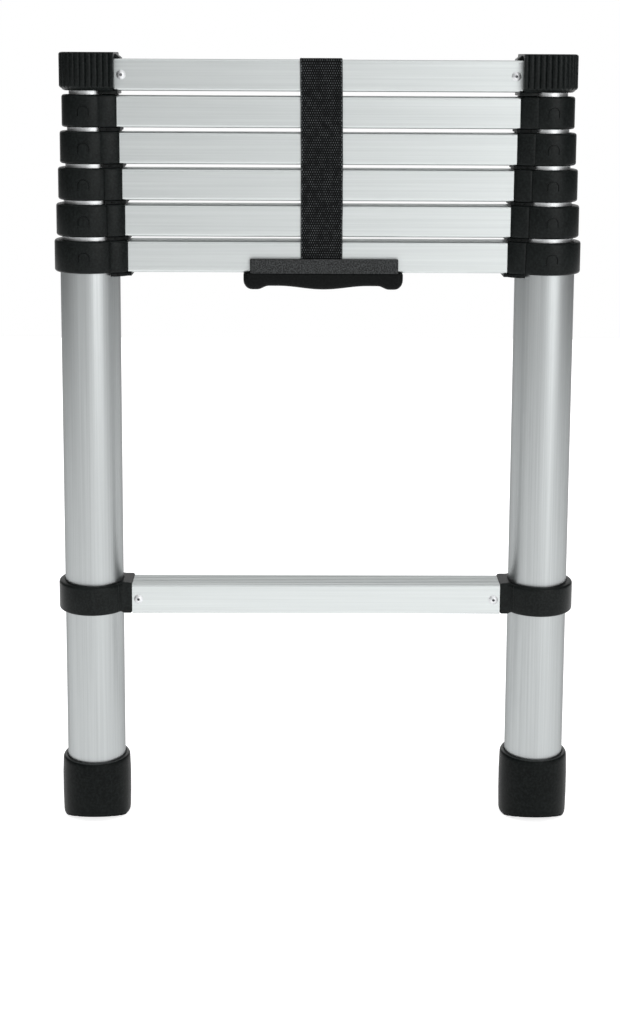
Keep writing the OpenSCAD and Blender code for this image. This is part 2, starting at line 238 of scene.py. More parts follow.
def leather_grain():
    """Coarse pebbled grain of the handle's hard saddle."""
    paint = Paint("handle_grain", (0.03, 0.031, 0.032), 0.5, Specular_IOR_Level=0.22)
    pebble = paint.cells((900, 900, 900))
    ripple = paint.noise((850, 850, 850), 3.0, 0.6)
    share = paint.spread(ripple, 0.4, 0.62, 0.0, 1.0)
    colour = paint.mix(share, (0.002, 0.0024, 0.0026), (0.040, 0.043, 0.044))
    paint.to("Base Color", colour)
    paint.to("Roughness", paint.spread(pebble, 0.0, 0.8, 0.42, 0.62))
    paint.bump(pebble, 0.0002, 0.7)
    paint.bump(ripple, 0.0003, 0.7)
    return paint.material


TUBE_METAL = aluminium(
    "drawn_aluminium", (900, 900, 5), (3600, 3600, 30),
    (0.355, 0.371, 0.373), (0.425, 0.443, 0.445), (0.34, 0.44), 0.45,
)
RUNG_METAL = aluminium(
    "extruded_aluminium", (5, 700, 700), (30, 3400, 3400),
    (0.505, 0.531, 0.530), (0.580, 0.607, 0.604), (0.36, 0.46), 1.0,
)
BRIGHT_TUBE_METAL = aluminium(
    "bright_drawn_aluminium", (900, 900, 5), (3600, 3600, 30),
    (0.66, 0.675, 0.68), (0.74, 0.755, 0.76), (0.42, 0.5), 0.9,
)
RIVET_METAL = aluminium(
    "rivet_aluminium", (600, 600, 600), (2600, 2600, 2600),
    (0.62, 0.63, 0.64), (0.74, 0.75, 0.76), (0.5, 0.6), 0.6,
)
STEEL = aluminium(
    "bright_steel", (900, 300, 300), (3000, 1200, 1200),
    (0.42, 0.42, 0.43), (0.55, 0.55, 0.56), (0.22, 0.34), 0.8,
)
PLASTIC = moulded(
    "collar_plastic", (0.0028, 0.0036, 0.0035), (0.0058, 0.0072, 0.0070),
    (0.32, 0.44), 1500, 0.00008, Specular_IOR_Level=0.1,
)
TAB_PLASTIC = moulded(
    "latch_plastic", (0.002, 0.0024, 0.0024), (0.004, 0.005, 0.005),
    (0.45, 0.6), 1500, 0.00005, Specular_IOR_Level=0.1,
)
GLIDE_PLASTIC = moulded(
    "glide_plastic", (0.02, 0.02, 0.021), (0.03, 0.03, 0.032),
    (0.4, 0.5), 1200, 0.00004,
)
# A lighter, glossier copy of the foot rubber for the top band of each foot: a painted highlight on
# the rim
RIM_HIGHLIGHT_RUBBER = moulded(
    "foot_rim_painted_highlight", (0.010, 0.0115, 0.0115), (0.018, 0.020, 0.020),
    (0.3, 0.42), 1100, 0.00006, Specular_IOR_Level=0.3,
)
RUBBER = moulded(
    "foot_rubber", (0.002, 0.0028, 0.0027), (0.0045, 0.0056, 0.0054),
    (0.36, 0.48), 1100, 0.00009, Specular_IOR_Level=0.06,
)
GRIP_RUBBER = moulded(
    "grip_rubber", (0.0016, 0.0019, 0.0019), (0.0035, 0.004, 0.004),
    (0.5, 0.62), 1700, 0.00005, Specular_IOR_Level=0.07,
)
WEBBING = webbing()
GRAIN = leather_grain()

# The longest name that a node's own name starts with decides its material
MATERIAL_OF = {
    "outer_tubes": TUBE_METAL,
    "inner_tubes": BRIGHT_TUBE_METAL,
    "rung_": RUNG_METAL,
    "rung_collars": PLASTIC,
    "rivets": RIVET_METAL,
    "latch_springs": STEEL,
    "lock_pin": STEEL,
    "latch_slider": TAB_PLASTIC,
    "tube_glides": GLIDE_PLASTIC,
}


def paint_nodes():
    """Gives every CAD node that stays in view its procedural material."""
    for name, node in NODES.items():
        fitting = [key for key in MATERIAL_OF if name.startswith(key)]
        if not fitting:
            continue
        material = MATERIAL_OF[max(fitting, key=len)]
        if not node.material_slots:
            node.data.materials.append(material)
        for slot in node.material_slots:
            slot.material = material


paint_nodes()


# ---------------------------------------------------------------- shapes
SMOOTH_BELOW = 32
BEVEL_ABOVE = 30


class Shape:
    """Points in millimetres and the faces between them, gathered for one object."""

    def __init__(self):
        self.points = []
        self.faces = []

    def take(self, made, edges, round_by):
        """Rounds the edges of a bmesh, then moves it into the shape."""
        if round_by:
            bmesh.ops.bevel(
                made, geom=edges, offset=round_by, segments=2, profile=0.5, affect="EDGES"
            )
        start = len(self.points)
        made.verts.index_update()
        self.points.extend(tuple(v.co) for v in made.verts)
        self.faces.extend(tuple(start + v.index for v in f.verts) for f in made.faces)
        made.free()

    def rings(self, rows, wrap=False, first=False, last=False):
        """Joins closed rows of equally many points; wrap joins the last row to the first."""
        start = len(self.points)
        count = len(rows[0])
        for row in rows:
            self.points.extend(row)
        for i in range(len(rows) if wrap else len(rows) - 1):
            a = start + i * count
            b = start + (i + 1) % len(rows) * count
            for j in range(count):
                k = (j + 1) % count
                self.faces.append((a + j, a + k, b + k, b + j))
        if first:
            self.faces.append(tuple(range(start + count - 1, start - 1, -1)))
        if last:
            end = start + (len(rows) - 1) * count
            self.faces.append(tuple(range(end, end + count)))

    def box(self, low, high, round_by=0.0):
        """A box with rounded edges."""
        made = bmesh.new()
        bmesh.ops.create_cube(made, size=1)
        for v in made.verts:
            v.co = Vector([(a + b) / 2 + c * (b - a) for a, b, c in zip(low, high, v.co)])
        self.take(made, made.edges[:], round_by)

    def prism(self, outline, low, high, round_by):
        """An upright prism with rounded edges."""
        made = bmesh.new()
        floor = [made.verts.new((x, y, low)) for x, y in outline]
        roof = [made.verts.new((x, y, high)) for x, y in outline]
        made.faces.new(floor[::-1])
        made.faces.new(roof)
        for i in range(len(outline)):
            k = (i + 1) % len(outline)
            made.faces.new((floor[i], floor[k], roof[k], roof[i]))
        bmesh.ops.recalc_face_normals(made, faces=made.faces)
        least = math.radians(BEVEL_ABOVE)
        sharp = [e for e in made.edges if e.calc_face_angle(0) > least]
        self.take(made, sharp, round_by)

    def mirrored(self):
        """The same shape on both stiles; it is drawn with +X from the tube axis to the middle."""
        both = Shape()
        for side in (-1, 1):
            start = len(both.points)
            both.points.extend((side * (STILE_X - x), y, z) for x, y, z in self.points)
            both.faces.extend(tuple(start + i for i in f) for f in self.faces)
        return both

    def object(self, name, material, sharp=SMOOTH_BELOW):
        mesh = bpy.data.meshes.new(name)
        mesh.from_pydata([tuple(MM * c for c in p) for p in self.points], [], self.faces)
        work = bmesh.new()
        work.from_mesh(mesh)
        bmesh.ops.recalc_face_normals(work, faces=work.faces)
        work.to_mesh(mesh)
        work.free()
        smooth(mesh, sharp)
        made = bpy.data.objects.new(name, mesh)
        bpy.context.scene.collection.objects.link(made)
        made.data.materials.append(material)
        return made


def smooth(mesh, sharp):
    """Shades the mesh smooth, except at edges of more than sharp degrees."""
    mesh.shade_smooth()
    mesh.set_sharp_from_angle(angle=math.radians(sharp))


def cut(piece, cutter, sharp=SMOOTH_BELOW):
    """Takes the cutter's shape out of the piece, and leaves a plain mesh."""
    tool = cutter.object(piece.name + "_cutter", piece.data.materials[0])
    modifier = piece.modifiers.new("cut", "BOOLEAN")
    modifier.operation = "DIFFERENCE"
    modifier.solver = "EXACT"
    modifier.object = tool
    bpy.context.view_layer.update()
    graph = bpy.context.evaluated_depsgraph_get()
    mesh = bpy.data.meshes.new_from_object(piece.evaluated_get(graph))
    piece.modifiers.clear()
    piece.data = mesh
    smooth(mesh, sharp)
    bpy.data.objects.remove(tool)


def fit(piece, body, slot, *nodes):
    """Puts a piece on its body in place of CAD nodes."""
    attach(piece, body)
    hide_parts(*nodes)


def box_mm(node):
    """The low and high corners of a CAD node's box, in millimetres."""
    low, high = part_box(node)
    return low / MM, high / MM


foot_low, foot_high = box_mm("foot_right")
# Half the distance between the two stiles' axes
STILE_X = (foot_low.x + foot_high.x) / 2
# The body that each rung and its collars ride on, from the lowest rung up
BODY_OF = {n: "base" if n <= 2 else f"section_{n - 1}" for n in range(1, 8)}

# ---------------------------------------------------------------- collars
OUTER_R = 25.3
TUBE_STEP = 1.8
TUBE_WALL_GAP = 0.05
SLIDING_GAP = 0.35
BLOCK_HALF = 15.6
BLOCK_CORNER = 0.8
CHEEK_LEN = 14.5
CHEEK_STEPS = 12
CREASE_WIDE = 0.6
CREASE_DEEP = {1: 0.5, 2: 0.6, 3: 0.6, 4: 0.55, 5: 0.2, 6: 0.12}
CLAMP_CREASE = 23.3
CLAMP_BEND = [
    (23.9, 18.9), (24.5, 17.9), (25.3, 17.0), (26.2, 16.4), (27.2, 16.0), (28, 15.8),
]
CLAMP_RING_H = 25.4
LIP_H = 7.4
# How far the collar's wall is drawn in at a distance from its lower and upper faces
BOTTOM_EDGE = [(1.9, 0), (1.2, 0.12), (0.55, 0.6), (0.15, 1.2), (0, 2.0)]
TOP_EDGE = [(0, 2.4), (0.12, 1.6), (0.5, 0.85), (1.1, 0.4), (2.0, 0.12)]


def tube_r(k):
    """The outer radius of a stile's tube, counted from the outermost."""
    return OUTER_R - TUBE_STEP * (k - 1)


def around(radius, start, end, steps):
    """Points of an arc about the tube axis; angles in degrees."""
    turns = [math.radians(start + (end - start) * i / steps) for i in range(steps + 1)]
    return [(radius * math.cos(a), radius * math.sin(a)) for a in turns]


def latch_cheek(ring, end):
    """The curved cheek's points from the crease to the block's end, for the +Y side."""
    start = end - CHEEK_LEN
    half = math.sqrt(ring**2 - start**2)
    drop = half - BLOCK_HALF
    radius = (CHEEK_LEN**2 + drop**2) / (2 * drop)
    points = []
    for i in range(CHEEK_STEPS + 1):
        x = CREASE_WIDE + (CHEEK_LEN - 0.7 - CREASE_WIDE) * i / CHEEK_STEPS
        points.append((start + x, half - radius + math.sqrt(radius**2 - x**2)))
    return start, half, points


def clamp_cheek(ring, end):
    """The short concave cheek of the plain collar, then the block's flat side."""
    half = math.sqrt(ring**2 - CLAMP_CREASE**2)
    x, y = CLAMP_BEND[-1]
    run = end - BLOCK_CORNER - x
    flat = [(x + run * i / 4, y + (BLOCK_HALF - y) * i / 4) for i in range(1, 5)]
    return CLAMP_CREASE, half, CLAMP_BEND + flat


def collar_outline(ring, end, cheek, deep):
    """The collar's plan: its block, a crease on each side and the ring round the tube."""
    start, half, side = cheek(ring, end)
    angle = math.degrees(math.atan2(half, start))
    crease = (start * (1 - deep / ring), half * (1 - deep / ring))
    past = math.degrees(CREASE_WIDE / ring)
    face = BLOCK_HALF - BLOCK_CORNER
    upper = [(end, face), (end - 0.2, BLOCK_HALF - 0.15), *reversed(side), crease]
    lower = [(x, -y) for x, y in reversed(upper)]
    ring_points = around(ring, angle + past, 360 - angle - past, 84)
    flat = [(end, -face + 2 * face * i / 10) for i in range(1, 10)]
    return upper + ring_points + lower + flat


def inset(outline, depth):
    """The outline moved towards the tube axis."""
    made = []
    for x, y in outline:
        share = 1 - depth / math.hypot(x, y)
        made.append((x * share, y * share))
    return made


def bore(outline, radius):
    """The outline's points moved onto a circle about the tube axis."""
    made = []
    for x, y in outline:
        share = radius / math.hypot(x, y)
        made.append((x * share, y * share))
    return made


def raised(outline, z):
    return [(x, y, z) for x, y in outline]


def collar_rows(outline, low, high, bore_low, bore_top, lip):
    """Rows round the collar's wall: outside from the bottom, over the top and down the bore."""
    rows = [raised(inset(outline, d), low + h) for d, h in BOTTOM_EDGE]
    rows.append(raised(outline, (low + high) / 2))
    rows += [raised(inset(outline, d), high - h) for d, h in TOP_EDGE]
    rows.append(raised(bore(outline, bore_top + 0.5), high))
    rows.append(raised(bore(outline, bore_top), high - 0.5))
    if lip:
        rows.append(raised(bore(outline, bore_top), high - lip))
        rows.append(raised(bore(outline, bore_low), high - lip))
    rows.append(raised(bore(outline, bore_low), low + 0.3))
    rows.append(raised(bore(outline, bore_low + 0.3), low))
    return rows


ARCH_X = -2.0
ARCH_HALF = 4.6
ARCH_FOOT = 9.5
ARCH_SPRING = 13.2
ARCH_LINE = 0.65
ARCH_FLOOR = 0.45
ARCH_DEEP = 0.8


def arch_cutter(ring, low):
    """A groove in the shape of an arch, following the collar's round front."""
    path = [(-ARCH_HALF, ARCH_FOOT + i * (ARCH_SPRING - ARCH_FOOT) / 4) for i in range(4)]
    turns = [math.pi - math.pi * i / 14 for i in range(15)]
    path += [(ARCH_HALF * math.cos(a), ARCH_SPRING + ARCH_HALF * math.sin(a)) for a in turns]
    path += [(ARCH_HALF, z) for _, z in reversed(path[:4])]
    outside = ring + 1
    inside = ring - ARCH_DEEP
    corners = ((-1, outside), (1, outside), (ARCH_FLOOR, inside), (-ARCH_FLOOR, inside))
    rows = []
    for i, (s, z) in enumerate(path):
        before = path[max(i - 1, 0)]
        after = path[min(i + 1, len(path) - 1)]
        along = Vector((after[0] - before[0], after[1] - before[1])).normalized()
        row = []
        for side, radius in corners:
            u = ARCH_X + s - side * ARCH_LINE * along.y
            v = z + side * ARCH_LINE * along.x
            angle = -math.pi / 2 + u / ring
            row.append((radius * math.cos(angle), radius * math.sin(angle), low + v))
        rows.append(row)
    made = Shape()
    made.rings(rows, first=True, last=True)
    return made


CHANNEL_HALF = 4.5
CHANNEL_TOP = 18
DROP_START = 23.5
DROP_RUN = 4
DROP_BAND = 2.5


def block_drop(x, ring_low, z, depth):
    """How much the plain collar's underside drops towards the end of its block."""
    if z >= ring_low + DROP_BAND:
        return 0
    share = min(1, max(0, (x - DROP_START) / DROP_RUN))
    return depth * share * share * (3 - 2 * share)


def make_collar(n):
    """Rung n's collars: the plain clamp ones for rung 1, latching ones for the rest."""
    low, high = box_mm(f"rung_collars_{n}")
    end = STILE_X - box_mm(f"rung_{n}")[1].x
    ring = high.x - STILE_X
    cheek = clamp_cheek if n == 1 else latch_cheek
    plan = collar_outline(ring, end, cheek, CREASE_DEEP[n])
    if n == 1:
        top = bottom = tube_r(1) + TUBE_WALL_GAP
        lip = 0
        z = high.z - CLAMP_RING_H
    else:
        bottom = tube_r(n - 1) + TUBE_WALL_GAP
        top = tube_r(n) + SLIDING_GAP
        lip = LIP_H
        z = low.z
    rows = collar_rows(plan, z, high.z, bottom, top, lip)
    if n == 1:
        depth = z - low.z
        rows = [[(x, y, h - block_drop(x, z, h, depth)) for x, y, h in row] for row in rows]
    shape = Shape()
    shape.rings(rows, wrap=True)
    piece = shape.mirrored().object(f"collars_{n}", PLASTIC)
    if n > 1:
        channel = Shape()
        start = tube_r(n) + 1
        channel.box((start, -CHANNEL_HALF, z - 1), (end + 2, CHANNEL_HALF, z + CHANNEL_TOP))
        cut(piece, channel.mirrored())
        cut(piece, arch_cutter(ring, z).mirrored())
    fit(piece, BODY_OF[n], "collar_plastic", f"rung_collars_{n}")


for n in range(1, 7):
    make_collar(n)

# ---------------------------------------------------------------- end caps
CAP_R = 23.05
CAP_HALF = 22.25
CAP_END = 23.6
CAP_RIB = 1.3
CAP_PITCH = 4.86
CAP_SQUEEZE = 0.3
TAB_DROP = 2.9
TAB_HALF = 17.5
TAB_NOTCH = 11
TONGUE_HALF = 11


def cap_path():
    """Points of the cap's plan, with the way along the wall and the outward direction."""
    step = CAP_PITCH / 10
    points = []
    x = CAP_END
    while x > 0:
        points.append((x, CAP_HALF, x, 0, 1))
        x -= step
    count = round(math.pi * CAP_R / step)
    for i in range(count + 1):
        turn = math.pi * i / count
        a = math.pi / 2 + turn
        y = math.sin(a) * (CAP_HALF + (CAP_R - CAP_HALF) * abs(math.cos(a)) ** 0.5)
        points.append((CAP_R * math.cos(a), y, -CAP_R * turn, math.cos(a), math.sin(a)))
    x = step
    while x < CAP_END + 0.01:
        points.append((x, -CAP_HALF, -CAP_R * math.pi - x, 0, -1))
        x += step
    return points


def cap_row(path, z, ribs, depth):
    """The cap's outline at one height, with a share of the ribs and drawn in by a depth."""
    end = CAP_END - depth * CAP_SQUEEZE
    row = []
    for x, y, along, nx, ny in path:
        phase = (along / CAP_PITCH) % 1
        wave = math.sqrt(max(0, 1 - (2 * phase - 1) ** 2))
        out = CAP_RIB * wave * ribs - depth
        back = depth * CAP_SQUEEZE if x > 20 else 0
        row.append((min(x + nx * out, CAP_END) - back, y + ny * out, z))
    half = abs(row[0][1]) - 0.6
    row += [(end, -half + 2 * half * i / 8, z) for i in range(9)]
    return row


def cap_block(shape, z, top):
    """The ribbed block with its sunk roof, and the bore that the tube stands in."""
    height = top - z
    # height above the underside, share of the ribs, and how far the wall is drawn in
    steps = [
        (0, 0, 3.0), (0.3, 0, 2.3), (0.9, 0, 1.5), (1.6, 0, 0.9), (2.0, 0.15, 0.5),
        (2.6, 0.55, 0.2), (3.3, 0.85, 0.05), (4.2, 1, 0), (height - 2.0, 1, 0),
        (height - 1.1, 0.9, 0.08), (height - 0.45, 0.6, 0.35), (height - 0.1, 0.25, 0.9),
        (height, 0.0, 1.6), (height, 0, 3.4), (height - 0.5, 0, 3.9), (height - 0.5, 0, 8),
    ]
    path = cap_path()
    rows = [cap_row(path, z + h, ribs, depth) for h, ribs, depth in steps]
    base = rows[0]
    roof = bore([point[:2] for point in rows[-1]], 9)
    rows.append(raised(roof, top - 0.45))
    shape.rings(rows, last=True)
    wall = bore([point[:2] for point in base], tube_r(6) + TUBE_WALL_GAP)
    shape.rings([base, raised(wall, z), raised(wall, z + 26)], last=True)


def cap_tongue(shape, rung_top, top):
    """The sloped tongue over the rung's end."""
    profile = [
        (CAP_END - 2.4, rung_top + 0.1), (CAP_END + 4.0, rung_top + 0.1),
        (CAP_END + 4.2, rung_top + 0.5), (CAP_END + 3.9, rung_top + 1.1),
        (CAP_END + 1.2, top - 2.2), (CAP_END - 0.8, top - 0.7), (CAP_END - 2.4, top - 0.3),
    ]
    x, z = CAP_END, rung_top + 0.8
    inner = TONGUE_HALF - 0.4
    rows = []
    for y, size in ((-TONGUE_HALF, 0.85), (-inner, 1), (inner, 1), (TONGUE_HALF, 0.85)):
        rows.append([(x + (px - x) * size, y, z + (pz - z) * size) for px, pz in profile])
    shape.rings(rows, first=True, last=True)


def cap_spacer(shape, low, z):
    """The fixed spacer that matches the thumb tabs of the rungs below."""
    end = CAP_END + 2.6
    hole = tube_r(6) + 0.5
    corner = math.degrees(math.acos(TAB_NOTCH / hole))
    fork = [
        (end, TAB_HALF), (TAB_NOTCH, TAB_HALF), *around(hole, corner, -corner, 20),
        (TAB_NOTCH, -TAB_HALF), (end, -TAB_HALF),
    ]
    short = [(min(x, CAP_END - 1), y) for x, y in fork]
    shape.prism(fork, low, z - 0.05, 0.4)
    shape.prism(short, z - 0.2, z + 0.6, 0)


def make_caps():
    low, high = box_mm("end_caps")
    underside = low.z + TAB_DROP
    shape = Shape()
    cap_block(shape, underside, high.z)
    cap_tongue(shape, box_mm("rung_7")[1].z, high.z)
    cap_spacer(shape, low.z, underside)
    piece = shape.mirrored().object("end_caps_ribbed", PLASTIC, sharp=50)
    fit(piece, BODY_OF[7], "cap_plastic", "end_caps")


make_caps()

# ---------------------------------------------------------------- feet
SOLE_FLAT = 10
SOLE_RISE = 6.5
SOCKET_FLOOR = 8
TREAD_PITCH = 5.5
TREAD_W = 2
TREAD_DEEP = 1.8
TREADS = 10
# Height of each foot's top band that is given the lighter rubber, a painted highlight
RIM_HIGHLIGHT_BAND = 0.6


def make_foot(side):
    """A turned socket whose sole is flat in the middle, slopes up to both sides, and has treads."""
    low, high = box_mm(f"foot_{side}")
    radius = (high.x - low.x) / 2
    top = high.z
    centre = (low.x + high.x) / 2
    slope = SOLE_RISE / (radius + 1 - SOLE_FLAT)
    socket = tube_r(1) + TUBE_WALL_GAP
    profile = [
        (socket, SOCKET_FLOOR), (socket, top - 0.9), (socket + 0.5, top - 0.2), (socket + 1.2, top),
        (radius - 2.2, top - 0.1), (radius - 1.5, top - 0.6), (radius - 0.9, top - 1.5),
        (radius - 0.55, top - 2.6), (radius - 0.4, top - 5), (radius, 38), (radius, 20),
        (radius - 0.15, 14), (radius - 0.25, 9), (radius - 0.35, 5.5), (radius - 0.45, 3.6),
        (radius - 0.7, 2.0), (radius - 1.3, 0.9), (radius - 2.2, 0.15),
    ]
    profile += [(r, 0) for r in range(27, 3, -1)]
    rows = []
    for r, z in profile:
        row = []
        for x, y in around(r, 0, 357.5, 143):
            sole = max(0, abs(y) - SOLE_FLAT) * slope
            row.append((centre + x, y, max(z, sole + 0.02 * z)))
        rows.append(row)
    shape = Shape()
    shape.rings(rows, first=True, last=True)
    piece = shape.object(f"foot_{side}_rubber", RUBBER, sharp=40)
    treads = Shape()
    far = radius + 2
    for i in range(TREADS):
        y = (i - (TREADS - 1) / 2) * TREAD_PITCH
        z = max(0, abs(y) - SOLE_FLAT) * slope + TREAD_DEEP
        treads.box((centre - far, y - TREAD_W / 2, -2), (centre + far, y + TREAD_W / 2, z))
    cut(piece, treads, sharp=40)
    # Painted highlight: the faces of the top band get the lighter copy of the rubber, where the rim
    # catches the light
    piece.data.materials.append(RIM_HIGHLIGHT_RUBBER)
    for face in piece.data.polygons:
        if face.center.z > (top - RIM_HIGHLIGHT_BAND) * MM:
            face.material_index = 1
    fit(piece, "base", "foot_rubber", f"foot_{side}")


for side in ("left", "right"):
    make_foot(side)

# ---------------------------------------------------------------- carry handle
WEB_HALF = 17.9
PLATE_IN = 17.8
GRAIN_DEEP = 0.16
SADDLE_STATIONS = 160
SADDLE_END = 0.9
PAD_FROM = 25


def make_saddle():
    """A channel section with pebbled outer faces, clipped on the rung."""
    low, high = box_mm("handle_saddle")
    rung_low = box_mm("rung_2")[0].z
    out = high.y
    face = [rung_low + 0.1 + (high.z - 0.7 - rung_low) * i / 16 for i in range(17)]
    half = [(WEB_HALF, low.z), (WEB_HALF, rung_low - 0.3)]
    half.append((out - 0.1, rung_low - 0.1))
    half += [(out, z) for z in face]
    half += [(out - 0.2, high.z - 0.2), (out - 0.7, high.z), (PLATE_IN + 0.6, high.z)]
    half += [(PLATE_IN, high.z - 0.5), (PLATE_IN, rung_low + 0.2), (PLATE_IN - 0.2, rung_low)]
    section = half + [(-y, z) for y, z in reversed(half)]
    rows = []
    for i in range(SADDLE_STATIONS + 1):
        x = low.x + (high.x - low.x) * i / SADDLE_STATIONS
        end = min(x - low.x, high.x - x)
        beyond = max(0, SADDLE_END - end)
        round_by = SADDLE_END - math.sqrt(max(0, SADDLE_END**2 - beyond**2))
        row = []
        for y, z in section:
            rough = 0
            if abs(y) > out - 0.3 and end > 0.2:
                spot = Vector((x, y * 3, z)) * 0.9
                rough = GRAIN_DEEP * (noise.noise(spot) + 0.5 * noise.noise(spot * 2.3))
            inward = (round_by * 0.6 + 0.12 - rough) if abs(y) > out - 0.3 else 0
            down = round_by * 0.6 if z > high.z - 0.6 else 0
            row.append((x, y - math.copysign(1, y) * inward, z - down))
        rows.append(row)
    shape = Shape()
    shape.rings(rows, first=True, last=True)
    rung_half = box_mm("rung_2")[1].y
    middle = (low.x + high.x) / 2
    # pads between the plates and the rung, beside the strap
    for x0, x1 in ((low.x + 0.6, middle - PAD_FROM), (middle + PAD_FROM, high.x - 0.6)):
        for s in (-1, 1):
            y0, y1 = sorted((s * rung_half, s * (PLATE_IN + 0.3)))
            shape.box((x0, y0, rung_low - 0.2), (x1, y1, high.z - 0.25), 0.35)
    piece = shape.object("handle_saddle_grained", GRAIN, sharp=45)
    fit(piece, "base", "handle_plastic", "handle_saddle")


SWELL = 3.0
RECESS_IN = 38
RECESS_OUT = 46
LOBE = 55.5
END_ROUND = 7.5
END_SIDE = 5


def grip_low(x, half):
    """How far the grip's underside is above its lowest point, at x from its middle."""
    x = abs(x)
    if x < RECESS_IN:
        rise = SWELL * (1 - math.cos(math.pi * x / RECESS_IN)) / 2
    elif x < RECESS_OUT:
        rise = SWELL
    elif x < LOBE:
        rise = SWELL * (1 + math.cos(math.pi * (x - RECESS_OUT) / (LOBE - RECESS_OUT))) / 2
    else:
        rise = 0
    over = x - (half - END_ROUND)
    if over > 0:
        rise += END_ROUND - math.sqrt(max(0, END_ROUND**2 - over**2))
    return rise


def grip_stations(half, pocket_half):
    """Where the grip's sections stand: closer at its rounded ends, doubled at the pocket's."""
    straight = half - END_ROUND
    stations = {round(-straight + 2 * straight * i / 70, 4) for i in range(71)}
    for side in (-1, 1):
        for i in range(13):
            x = straight + END_ROUND * math.sin(math.pi / 2 * i / 12)
            stations.add(round(side * x, 4))
        for past in (0, 0.03):
            stations.add(side * (pocket_half + past))
    return sorted(stations)


def make_grip():
    """The soft grip under the saddle, with a pocket that the saddle sits in."""
    low, high = box_mm("handle_grip")
    saddle_low, saddle_high = box_mm("handle_saddle")
    middle = (low.x + high.x) / 2
    half = (high.x - low.x) / 2
    depth = high.y
    pocket = WEB_HALF + 0.03
    pocket_half = (saddle_high.x - saddle_low.x) / 2 + 0.02
    rows = []
    for x in grip_stations(half, pocket_half):
        bottom = min(low.z + grip_low(x, half), high.z - 3)
        over = max(0, abs(x) - (half - END_SIDE))
        side = depth - (END_SIDE - math.sqrt(max(0, END_SIDE**2 - over**2))) * 0.8
        top = high.z - 0.15 * over
        floor = saddle_low.z - 0.03 if abs(x) <= pocket_half + 0.01 else top - 0.02
        wall = min(pocket, side - 1.6)
        r = min(4.6, (top - bottom) / 2)
        profile = [(wall, floor), (wall, top)]
        profile += [(side - 0.9, top), (side - 0.25, top - 0.25), (side, top - 0.9)]
        for i in range(9):
            a = math.pi / 2 * i / 8
            profile.append((side - r + r * math.cos(a), bottom + r - r * math.sin(a)))
        profile += [((side - r) * k, bottom) for k in (0.66, 0.33)]
        row = [(middle + x, y, z) for y, z in profile]
        row += [(middle + x, -y, z) for y, z in reversed(profile)]
        rows.append(row)
    shape = Shape()
    shape.rings(rows, first=True, last=True)
    piece = shape.object("handle_grip_soft", GRIP_RUBBER, sharp=50)
    fit(piece, "base", "grip_rubber", "handle_grip")


make_saddle()
make_grip()

# ---------------------------------------------------------------- strap
WEAVE_X = 1.9
WEAVE_S = 2.05
WEAVE_DEEP = 0.5
LEAN = -1.2
SELVEDGE = 1.3
EDGE_ROUND = 0.7
BEND_R = 2.2


def strap_path(inner, low, top):
    """Where the strap's inner face runs, front end to back end, with its outward direction."""
    step = WEAVE_S / 4
    side = inner - BEND_R
    shoulder = top - BEND_R
    count = int((shoulder - low) / step)
    points = [(-inner, low + (shoulder - low) * i / count, -1, 0) for i in range(count + 1)]
    for i in range(1, 8):
        a = math.pi / 2 * i / 8
        ny = -math.cos(a)
        nz = math.sin(a)
        points.append((-side + BEND_R * ny, shoulder + BEND_R * nz, ny, nz))
    flat = int(2 * side / step)
    points += [(-side + 2 * side * i / flat, top, 0, 1) for i in range(flat + 1)]
    back = [(-y, z, -ny, nz) for y, z, ny, nz in reversed(points[: count + 8])]
    return points + back


def weave(u, width, row_turn):
    """How high the yarn stands, 0 to 1, at u (-1 to 1) across the strap and so many rows along."""
    if width / 2 * (1 - abs(u)) < SELVEDGE:
        return 0.75 + 0.25 * math.sin(2 * math.pi * row_turn)
    shift = 0.5 * (math.floor(row_turn) % 2)
    column = math.cos(2 * math.pi * (u * width / 2 / WEAVE_X + shift))
    return (0.5 + 0.5 * column) * abs(math.sin(math.pi * row_turn)) ** 0.7


